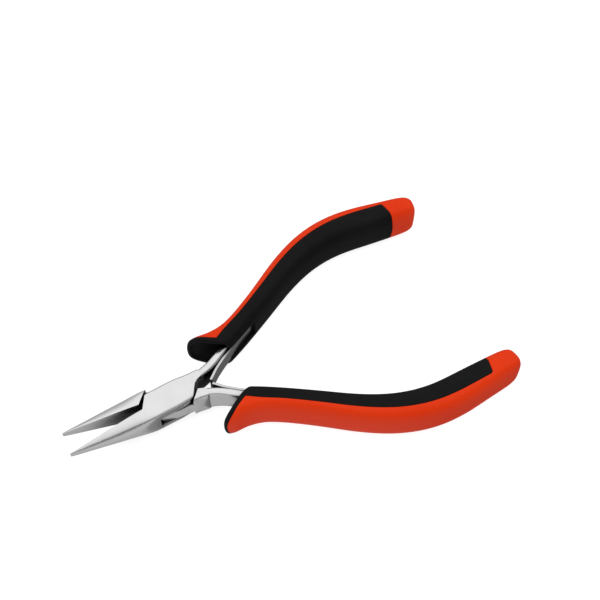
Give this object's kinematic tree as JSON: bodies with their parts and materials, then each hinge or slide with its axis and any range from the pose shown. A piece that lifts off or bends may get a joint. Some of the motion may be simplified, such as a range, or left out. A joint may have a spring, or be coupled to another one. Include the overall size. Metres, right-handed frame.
{
  "type": "chain nose jewellery pliers",
  "caption": "Slim box-joint pliers with long tapering smooth jaws, leaf springs that hold them open, and curved flared grips in two colours of moulded plastic.",
  "frame": {"origin": "on the pivot axis, on the flat back face of the box joint", "axes": "+Z through the joint along the pivot axis, +X from the jaws to the grips, +Y towards the grip of the box half; the pliers lie flat and stand open at the angle where the leaf springs hold them"},
  "size_m": [0.1278, 0.077, 0.0133],
  "materials": {
    "polished_steel": "polished tool steel with fine grinding marks",
    "spring_steel": "bright rolled spring steel",
    "orange_plastic": "smooth satin moulded plastic",
    "black_rubber": "soft satin moulded elastomer"
  },
  "bodies": {
    "box_half": {"box_jaw_half": "polished_steel", "pivot_rivet": "polished_steel", "leaf_spring_box_side": "spring_steel", "spring_rivet_box_side": "spring_steel", "grip_shell_box_side": "orange_plastic", "grip_overmold_box_side": "black_rubber"},
    "web_half": {"web_jaw_half": "polished_steel", "leaf_spring_web_side": "spring_steel", "spring_rivet_web_side": "spring_steel", "grip_shell_web_side": "orange_plastic", "grip_overmold_web_side": "black_rubber"}
  },
  "joints": [
    {"name": "pivot_hinge", "type": "hinge", "parent": "box_half", "child": "web_half", "pos_m": [0, 0, 0], "axis": [0, 0, 1], "range_deg": [-6, 12.2], "stiffness_Nm_per_rad": 3, "deforming": ["leaf_spring_box_side", "leaf_spring_web_side"]}
  ]
}
